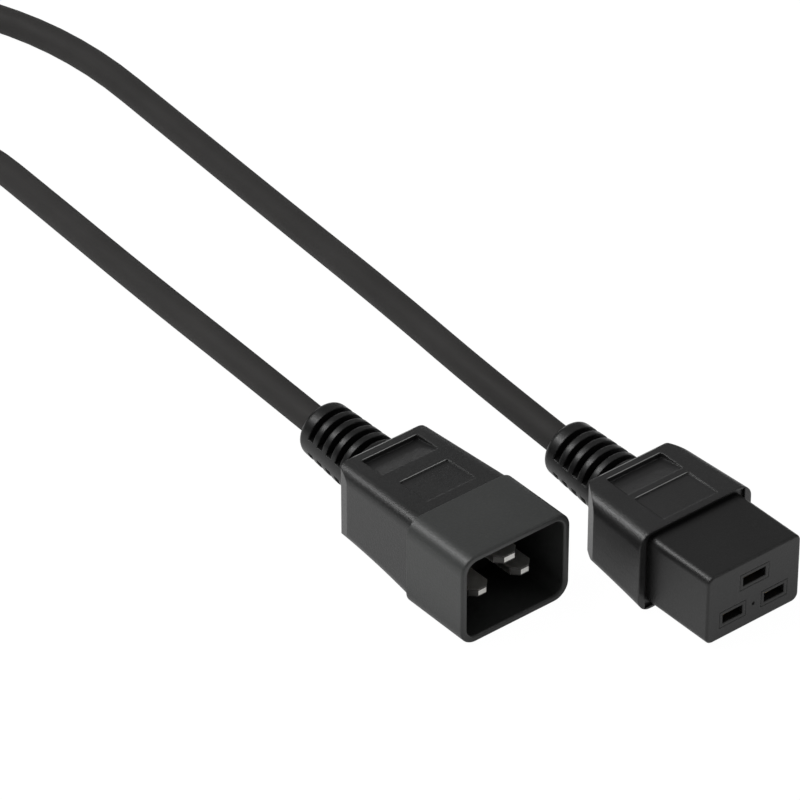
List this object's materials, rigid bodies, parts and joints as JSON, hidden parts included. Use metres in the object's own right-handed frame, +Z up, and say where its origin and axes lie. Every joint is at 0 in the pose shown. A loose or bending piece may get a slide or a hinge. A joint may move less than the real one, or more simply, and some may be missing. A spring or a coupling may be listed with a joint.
{
  "type": "power extension cord",
  "caption": "Flexible power cord with a shrouded flat-pin male plug on one end and the matching female socket on the other, its slack wound in a tied coil.",
  "frame": {"origin": "on the floor under the middle of the bounding box of the two connectors, the free cord left out", "axes": "+Y from the connectors' front faces back along the cords, +X from the plug towards the socket, +Z up with the earth pin above the other two"},
  "size_m": [0.1376, 0.4188, 0.0252],
  "materials": {
    "housing": "fine moulded grain, slightly greenish dark grey",
    "grip": "soft PVC with a fine matt grain",
    "jacket": "matt, faintly dusty PVC jacket",
    "insert": "smooth semi-matt hard plastic",
    "pin": "bright nickel plating",
    "contact": "rolled sheet",
    "strand": "bare copper strands",
    "core_brown": "smooth insulation",
    "core_blue": "smooth insulation",
    "core_green": "smooth insulation, green with a yellow stripe",
    "strap": "woven hook and loop strap"
  },
  "bodies": {
    "root": {"plug_shroud": "housing", "plug_grip": "grip", "socket_nose": "housing", "socket_insert": "insert", "socket_grip": "grip", "cord_plug_run": "jacket", "cord_socket_run": "jacket", "cord_coil": "jacket", "coil_tie": "strap", "plug_line_pin": "pin", "plug_line_core": "core_brown", "plug_line_strand": "strand", "plug_neutral_pin": "pin", "plug_neutral_core": "core_blue", "plug_neutral_strand": "strand", "plug_earth_pin": "pin", "plug_earth_core": "core_green", "plug_earth_strand": "strand", "socket_line_contact": "contact", "socket_line_core": "core_brown", "socket_line_strand": "strand", "socket_neutral_contact": "contact", "socket_neutral_core": "core_blue", "socket_neutral_strand": "strand", "socket_earth_contact": "contact", "socket_earth_core": "core_green", "socket_earth_strand": "strand"}
  },
  "joints": []
}
